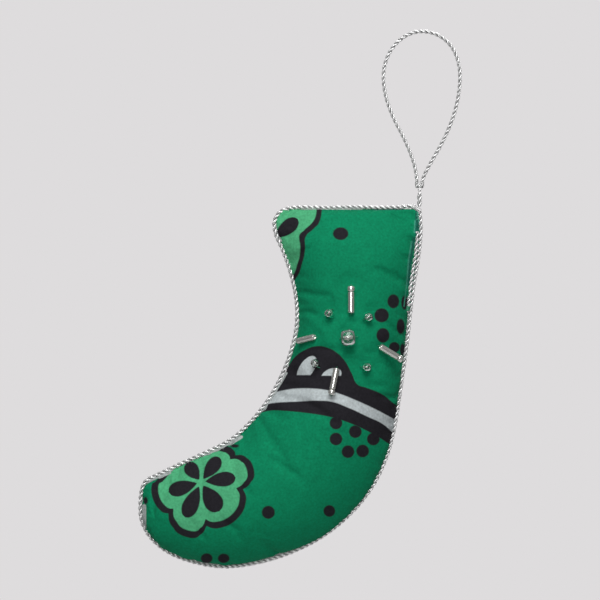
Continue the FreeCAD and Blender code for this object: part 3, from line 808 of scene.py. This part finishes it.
TUCK = 0.5  # how far the cloth runs on under the cord, mm


def smooth_through(values, where):
    """A Catmull-Rom curve through evenly numbered values, read at the given places."""
    values = np.asarray(values, float)
    padded = np.concatenate([[2 * values[0] - values[1]], values, [2 * values[-1] - values[-2]]])
    cell = np.clip(np.floor(where).astype(int), 0, len(values) - 2)
    t = where - cell
    a, b, c, d = (padded[cell + k] for k in range(4))
    return 0.5 * (2 * b + (c - a) * t + (2 * a - 5 * b + 4 * c - d) * t**2 + (3 * b - a - 3 * c + d) * t**3)


def pillow_grid():
    """Points of the front half, one row for each place along the stocking, in metres."""
    mids = np.array([((a[0] + b[0]) / 2, (a[1] + b[1]) / 2) for a, b, _ in FAN])
    spread = np.concatenate([[0], np.cumsum(np.linalg.norm(np.diff(mids, axis=0), axis=1))])
    ease = 0.5 - 0.5 * np.cos(np.linspace(0, math.pi, ROWS + 1))
    even = np.linspace(0, 1, ROWS + 1)
    wanted = (0.55 * even + 0.45 * ease) * spread[-1]
    where = np.interp(wanted, spread, np.arange(len(FAN)))
    left = np.stack([smooth_through([row[0][k] for row in FAN], where) for k in (0, 1)], axis=1)
    right = np.stack([smooth_through([row[1][k] for row in FAN], where) for k in (0, 1)], axis=1)
    height = np.sqrt(np.maximum(smooth_through([row[2] ** 2 for row in FAN], where), 0))
    height[0] = height[-1] = 0
    grid = np.zeros((ROWS + 1, HALF_ROUND + 1, 3))
    for i in range(ROWS + 1):
        across = (right[i] - left[i]) / np.linalg.norm(right[i] - left[i])
        left[i] -= across * TUCK
        right[i] += across * TUCK
        half = np.linalg.norm(right[i] - left[i]) / 2
        lift = max(min(height[i], 0.95 * half), 1e-4)
        bow = (half**2 + lift**2) / (2 * lift)
        open_angle = math.asin(min(half / bow, 1))
        turn = np.linspace(-open_angle, open_angle, HALF_ROUND + 1)
        share = 0.5 + 0.5 * np.sin(turn) * bow / half
        flat = left[i] + share[:, None] * (right[i] - left[i])
        grid[i, :, 0] = flat[:, 0]
        grid[i, :, 2] = flat[:, 1]
        grid[i, :, 1] = -(np.cos(turn) * bow - (bow - lift))
    grid[:, :, 1][0] = 0
    grid[:, :, 1][-1] = 0
    return grid * MM


SIM_SCALE = 10.0
SIM_FRAMES = 22
GROWTH = -0.045
PRESSURE = 4.0


def inflate(front):
    """Cloth simulation of both halves, sewn all round and blown up by the filling; front and back rows."""
    back = front * np.array([1, -1, 1])
    rows, cols, _ = front.shape
    start = np.array([1, 0.8, 1])
    points = np.concatenate([(front * start).reshape(-1, 3), (back * start).reshape(-1, 3)]) * SIM_SCALE
    second = rows * cols

    def index(side, i, j):
        if side and 0 < i < rows - 1 and 0 < j < cols - 1:
            return second + i * cols + j
        return i * cols + j

    faces = []
    for i in range(rows - 1):
        for j in range(cols - 1):
            faces.append((index(0, i, j), index(0, i + 1, j), index(0, i + 1, j + 1), index(0, i, j + 1)))
            faces.append((index(1, i, j), index(1, i, j + 1), index(1, i + 1, j + 1), index(1, i + 1, j)))
    item = mesh_object("sim_pillow", points, faces, FRONT_COTTON)
    pins = item.vertex_groups.new(name="seam")
    rim = [i * cols + j for i in range(rows) for j in range(cols) if i in (0, rows - 1) or j in (0, cols - 1)]
    pins.add(rim, 1.0, "REPLACE")
    cloth = item.modifiers.new("cloth", "CLOTH")
    settings = cloth.settings
    settings.quality = 6
    settings.mass = 0.2
    settings.tension_stiffness = 18
    settings.compression_stiffness = 18
    settings.shear_stiffness = 6
    settings.bending_stiffness = 0.6
    settings.tension_damping = 12
    settings.compression_damping = 12
    settings.air_damping = 3
    settings.shrink_min = GROWTH
    settings.shrink_max = GROWTH
    settings.use_pressure = True
    settings.uniform_pressure_force = PRESSURE
    settings.vertex_group_mass = "seam"
    settings.effector_weights.gravity = 0
    cloth.collision_settings.use_collision = False
    cloth.point_cache.frame_start = 1
    cloth.point_cache.frame_end = SIM_FRAMES
    for number in range(1, SIM_FRAMES + 1):
        scene.frame_set(number)
    made = item.evaluated_get(bpy.context.evaluated_depsgraph_get())
    result = np.empty(len(points) * 3)
    made.data.vertices.foreach_get("co", result)
    result = result.reshape(-1, 3) / SIM_SCALE
    scene.frame_set(1)
    bpy.data.objects.remove(item)
    halves = [np.empty_like(front), np.empty_like(front)]
    for side in (0, 1):
        for i in range(rows):
            for j in range(cols):
                halves[side][i, j] = result[index(side, i, j)]
    return halves


def smoothstep(low, high, value):
    t = np.clip((value - low) / (high - low), 0, 1)
    return t * t * (3 - 2 * t)


front_grid = pillow_grid()
cloth_halves = inflate(front_grid)

STITCH_PITCH = 3.4 * MM
PUCKER = 0.22 * MM
SIM_CAP = 0.7 * MM
FOLD_GAIN = 1.3
BEADS = [name for name in frame["nodes"] if "bead" in name]


def blurred(rows, passes):
    """The rows smoothed many times over their neighbours, with the rim held."""
    soft = rows.copy()
    for _ in range(passes):
        middle = soft[1:-1, 1:-1]
        around = soft[:-2, 1:-1] + soft[2:, 1:-1] + soft[1:-1, :-2] + soft[1:-1, 2:]
        soft[1:-1, 1:-1] = 0.5 * middle + 0.125 * around
    return soft


def dress(half, side):
    """The CAD panel's form with the simulated folds, flat under the beads, puckered between the stitches."""
    base = front_grid * np.array([1, -side, 1])
    moved = (half - blurred(half, 160)) * FOLD_GAIN
    moved -= blurred(moved, 400) * 0.5
    size = np.linalg.norm(moved, axis=2, keepdims=True)
    moved = moved * np.minimum(1, SIM_CAP / np.maximum(size, 1e-9))
    keep = np.ones(base.shape[:2])
    if side < 0:
        for name in BEADS:
            low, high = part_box(name)
            spot = (np.array(low) + np.array(high)) / 2
            away = np.linalg.norm(base[:, :, (0, 2)] - spot[[0, 2]], axis=2)
            keep = np.minimum(keep, smoothstep(2.0 * MM, 6.0 * MM, away))
    result = base + moved * keep[:, :, None]
    rim = np.concatenate([base[:, 0], base[-1, :], base[::-1, -1], base[0, ::-1]])
    run = np.concatenate([[0], np.cumsum(np.linalg.norm(np.diff(rim, axis=0), axis=1))])
    flat = base[:, :, (0, 2)].reshape(-1, 2)
    for first in range(0, len(flat), 2000):
        block = flat[first : first + 2000]
        gaps = np.linalg.norm(block[:, None] - rim[None, :, (0, 2)], axis=2)
        near = gaps.argmin(axis=1)
        depth = gaps.min(axis=1)
        slow_wave = np.sin(2 * math.pi * run[near] / 9.1e-3 + side)
        wave = np.sin(2 * math.pi * run[near] / STITCH_PITCH) + 0.5 * slow_wave
        fade = np.exp(-depth / (2.2 * MM)) * smoothstep(0, 0.9 * MM, depth)
        push = -side * -1 * PUCKER * wave * fade
        result.reshape(-1, 3)[first : first + 2000, 1] += push
    return result


def panel(name, rows, side, material, node):
    """One cotton panel as a closed thin sheet."""
    count, cols, _ = rows.shape
    faces = []
    for i in range(count - 1):
        for j in range(cols - 1):
            face = (i * cols + j, (i + 1) * cols + j, (i + 1) * cols + j + 1, i * cols + j + 1)
            faces.append(face if side < 0 else face[::-1])
    rows = rows + np.array([0, side * 0.05 * MM, 0])
    item = mesh_object(name, rows.reshape(-1, 3), faces, material)
    smooth = item.modifiers.new("smooth", "SUBSURF")
    smooth.levels = 1
    smooth.render_levels = 1
    shell = item.modifiers.new("thickness", "SOLIDIFY")
    shell.thickness = 0.3 * MM
    shell.offset = -1
    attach(item, "stocking")
    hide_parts(node)
    return item


front = panel("front_cloth", dress(cloth_halves[0], -1), -1, FRONT_COTTON, "front_panel")
back = panel("back_cloth", dress(cloth_halves[1], 1), 1, BACK_COTTON, "back_panel")

# ---- filling, seam allowance and small CAD pieces ----


def filling(rows_front, rows_back):
    """The fibre filling: one closed, slightly lumpy form just inside both panels."""
    count, cols, _ = rows_front.shape
    build_points = []
    faces = []
    step = 3
    picked_rows = list(range(8, count - 8, step))
    picked_cols = list(range(1, cols - 1, step))
    ring = len(picked_cols) * 2
    for i in picked_rows:
        centre = (rows_front[i, 0] + rows_front[i, -1]) / 2
        for rows, order in ((rows_front, picked_cols), (rows_back, picked_cols[::-1])):
            for j in order:
                inward = 0.89 + 0.012 * rng.random()
                build_points.append(centre + (rows[i, j] - centre) * inward)
    for a in range(len(picked_rows) - 1):
        for k in range(ring):
            after = (k + 1) % ring
            faces.append((a * ring + k, (a + 1) * ring + k, (a + 1) * ring + after, a * ring + after))
    faces.append(tuple(reversed(range(ring))))
    last = (len(picked_rows) - 1) * ring
    faces.append(tuple(last + k for k in range(ring)))
    item = mesh_object("fibre_filling", build_points, faces, plain_look("fibre", (0.85, 0.85, 0.83, 1), 1.0))
    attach(item, "stocking")
    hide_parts("stuffing")


filling(front_grid, front_grid * np.array([1, -1, 1]))

THREAD_PLAIN = plain_look("bead_thread", (0.03, 0.22, 0.12, 1), 0.5)


def relook(node, material):
    """Give a CAD piece that keeps its shape a better finish."""
    mesh = frame["nodes"][node].data
    mesh.materials.clear()
    mesh.materials.append(material)


relook("seam_allowance", RAW_EDGE)
for node in frame["nodes"]:
    if "thread" in node or node == "tail_binding":
        relook(node, THREAD_PLAIN)

# ---- glass beads ----


def glass_look(name, tint):
    """Clear glass, barely clouded inside."""
    n = Nodes(name)
    n.shader.inputs["Base Color"].default_value = tint
    n.shader.inputs["Roughness"].default_value = 0.03
    n.shader.inputs["IOR"].default_value = 1.52
    n.shader.inputs["Transmission Weight"].default_value = 1.0
    grain = n.put("ShaderNodeTexNoise")
    grain.inputs["Scale"].default_value = 500
    bump = n.put("ShaderNodeBump")
    bump.inputs["Distance"].default_value = 0.00002
    bump.inputs["Strength"].default_value = 0.4
    n.feed(bump.inputs["Height"], grain.outputs["Fac"])
    n.feed(n.shader.inputs["Normal"], bump.outputs["Normal"])
    return n.material


GLASS = glass_look("bead_glass", (0.93, 0.96, 0.94, 1))
SILVERED = plain_look("silvered_glass", (0.93, 0.93, 0.88, 1), 0.27, 0.85, 200, 0.000002)
LINING = plain_look("bead_silver_lining", (0.95, 0.95, 0.92, 1), 0.3, 0.2, 200, 0.000002)


def lathe(name, profile, centre, axis, material, around=40):
    """A closed ring turned from a closed (radius, along) outline round the axis."""
    axis = Vector(axis).normalized()
    side = axis.orthogonal().normalized()
    up = axis.cross(side)
    points = []
    faces = []
    count = len(profile)
    for k in range(around):
        turn = 2 * math.pi * k / around
        out = side * math.cos(turn) + up * math.sin(turn)
        points.extend(Vector(centre) + out * radius + axis * along for radius, along in profile)
    for k in range(around):
        here, there = k * count, ((k + 1) % around) * count
        for i in range(count):
            after = (i + 1) % count
            faces.append((here + i, here + after, there + after, there + i))
    return mesh_object(name, points, faces, material)


def bead_profile(bore, outer, half, bulge):
    """Half section of a bored bead: bulge 0 is a straight tube and 1 a full round."""
    profile = [(bore, -half * 0.9)]
    steps = 14
    for k in range(steps + 1):
        turn = -math.pi / 2 + math.pi * k / steps
        power = 0.28 + 0.72 * bulge
        wide = abs(math.cos(turn)) ** power
        tall = math.copysign(abs(math.sin(turn)) ** (0.3 + 0.7 * bulge), math.sin(turn))
        profile.append((bore * 1.25 + (outer - bore * 1.25) * wide, half * tall))
    profile.append((bore, half * 0.9))
    return profile


BULGE = {"centre": 0.8, "bugle": 0.0, "seed": 0.75, "tip": 0.75}
BORE = {"centre": 0.95 * MM, "bugle": 0.55 * MM, "seed": 0.55 * MM, "tip": 0.5 * MM}
OUTER = {"centre": 2.7 * MM, "bugle": 0.95 * MM, "seed": 1.3 * MM, "tip": 1.1 * MM}
HALF_LENGTH = {"centre": 2.1 * MM, "bugle": 3.1 * MM, "seed": 1.0 * MM, "tip": 0.8 * MM}

for joint in frame["joints"]:
    name = joint["child"]
    if name not in BEADS:
        continue
    kind = name.split("_")[0]
    bore, outer, half = BORE[kind], OUTER[kind], HALF_LENGTH[kind]
    centre, axis = joint["pos_m"], joint["axis"]
    finish = SILVERED if kind in ("bugle", "tip") else GLASS
    glass = lathe(name + "_glass", bead_profile(bore, outer, half, BULGE[kind]), centre, axis, finish)
    skin = 0.03 * MM
    tube = [(bore - 2 * skin, -half * 0.88), (bore - 0.3 * skin, -half * 0.88)]
    tube += [(bore - 0.3 * skin, half * 0.88), (bore - 2 * skin, half * 0.88)]
    lining = lathe(name + "_lining", tube, centre, axis, LINING, 24)
    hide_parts(name)
    for item in (glass, lining):
        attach(item, name)

# ---- stitches over the cord, and the raw edges that show beside it ----


def outward_frames(line):
    """At each point of the seam line: the way along it and the way out of the stocking."""
    ways = np.gradient(line, axis=0)
    ways /= np.linalg.norm(ways, axis=1)[:, None]
    outs = np.stack([-ways[:, 2], np.zeros(len(ways)), ways[:, 0]], axis=1)
    return ways, outs


trim_ways, trim_outs = outward_frames(trim_line)
trim_run = np.concatenate([[0], np.cumsum(np.linalg.norm(np.diff(trim_line, axis=0), axis=1))])
if np.dot(trim_outs[len(trim_outs) // 8], (1, 0, 0)) < 0:
    trim_outs = -trim_outs


def at_run(run):
    """Place, way along and way out at a distance along the seam."""
    number = min(int(np.searchsorted(trim_run, run)), len(trim_line) - 1)
    return trim_line[number], trim_ways[number], trim_outs[number]


def smooth_line(points, count):
    """A smooth line through a few points."""
    where = np.linspace(0, len(points) - 1, count)
    return np.stack([smooth_through([p[k] for p in points], where) for k in range(3)], axis=1)


stitch_build = Build()
run = 2.0 * MM
while run < trim_length - 1.5 * MM:
    place, way, out = at_run(run)
    slant = (0.5 + 0.3 * rng.random()) * MM
    bite = (0.85 + 0.15 * rng.random()) * MM
    reach = TRIM_D / 2 + 0.06 * MM
    up = np.array([0, 1.0, 0])
    points = [
        place - out * bite - up * 0.1 * MM - way * slant,
        place - out * bite * 0.8 - up * 0.45 * MM - way * slant * 0.6,
        place - up * reach - way * slant * 0.3,
        place + out * reach * 0.72 - up * reach * 0.72,
        place + out * reach,
        place + out * reach * 0.72 + up * reach * 0.72,
        place + up * reach + way * slant * 0.3,
        place - out * bite * 0.8 + up * 0.45 * MM + way * slant * 0.6,
        place - out * bite + up * 0.1 * MM + way * slant,
    ]
    stitch_build.tube(smooth_line(points, 26), 0.06 * MM, 6)
    run += STITCH_PITCH * (0.85 + 0.3 * rng.random())
stitches = stitch_build.finish("seam_stitches", THREAD, "stocking", "sewing_thread")

# Stretches where the raw edge shows: from, to (x, z in mm), widest in mm.
FRAYS = [
    ((-0.6, -53.6), (-0.4, -60.5), 1.2), ((-0.6, -62.0), (-3.4, -82.0), 0.5),
    ((-5.6, -100), (-7.0, -110), 0.2),
    ((-10.2, -126), (-19.0, -142), 0.4), ((-29, -151), (-48, -159), 0.3), ((-62, -160), (-79.5, -154), 0.4),
    ((-83.0, -150), (-84.5, -139), 1.1), ((-82.6, -135.0), (-75, -131), 0.9),
    ((-66, -126.5), (-54.5, -120.5), 1.0),
    ((-49, -114), (-43, -105), 0.5), ((-38.6, -94), (-37.2, -86), 0.2), ((-42.6, -63), (-44.4, -57), 0.5),
    ((-36, -52.3), (-18, -52.1), 0.3),
]


def nearest_run(x, z):
    spot = np.array([x * MM, 0, z * MM])
    return trim_run[int(np.linalg.norm(trim_line - spot, axis=1).argmin())]


def fray_strip(number, start, end, widest):
    """A ragged strip of raw cotton that peeps out between the cord and the panel, with loose yarn ends."""
    first, last = sorted((nearest_run(*start), nearest_run(*end)))
    count = max(int((last - first) / (0.35 * MM)), 6)
    points = []
    faces = []
    build = Build()
    width = 0.5
    for k in range(count + 1):
        place, way, out = at_run(first + (last - first) * k / count)
        width = min(max(width + rng.uniform(-0.16, 0.16), 0.25), 1.0)
        taper = math.sin(math.pi * min(max(k / count, 0.02), 0.98)) ** 0.4
        reach = widest * MM * width * taper
        for side, sink in ((-1, 1), (1, 1)):
            lift = side * (0.14 * MM + 0.62 * reach)
            points.append(place - out * 0.2 * MM + np.array([0, side * 0.2 * MM, 0]))
            points.append(place - out * (0.75 * MM + reach) + np.array([0, lift + side * 0.3 * MM, 0]))
        if rng.random() < 0.35:
            tip_way = (out * rng.uniform(-0.2, 0.6) + way * rng.uniform(-1, 1)) * rng.uniform(0.5, 1.3) * MM
            root = points[-3] if rng.random() < 0.8 else points[-1]
            bend = root + tip_way * 0.5 + np.array([0, -0.25 * MM, 0])
            tip = root + tip_way + np.array([0, -0.1 * MM, 0])
            build.tube(smooth_line([root, bend, tip], 8), 0.045 * MM, 5)
    for k in range(count):
        a, b = k * 4, (k + 1) * 4
        for one, other in ((0, 1), (1, 3), (3, 2), (2, 0)):
            faces.append((a + one, a + other, b + other, b + one))
    faces += [(0, 2, 3, 1), (count * 4, count * 4 + 1, count * 4 + 3, count * 4 + 2)]
    finish = RAW_TEAL if start[0] > -20 and start[1] > -90 else RAW_EDGE
    strip = mesh_object(f"raw_edge_{number}", points, faces, finish)
    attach(strip, "stocking")
    build.finish(f"loose_yarn_{number}", finish, "stocking", "raw_cotton_edge")


for number, (start, end, widest) in enumerate(FRAYS, start=1):
    fray_strip(number, start, end, widest)
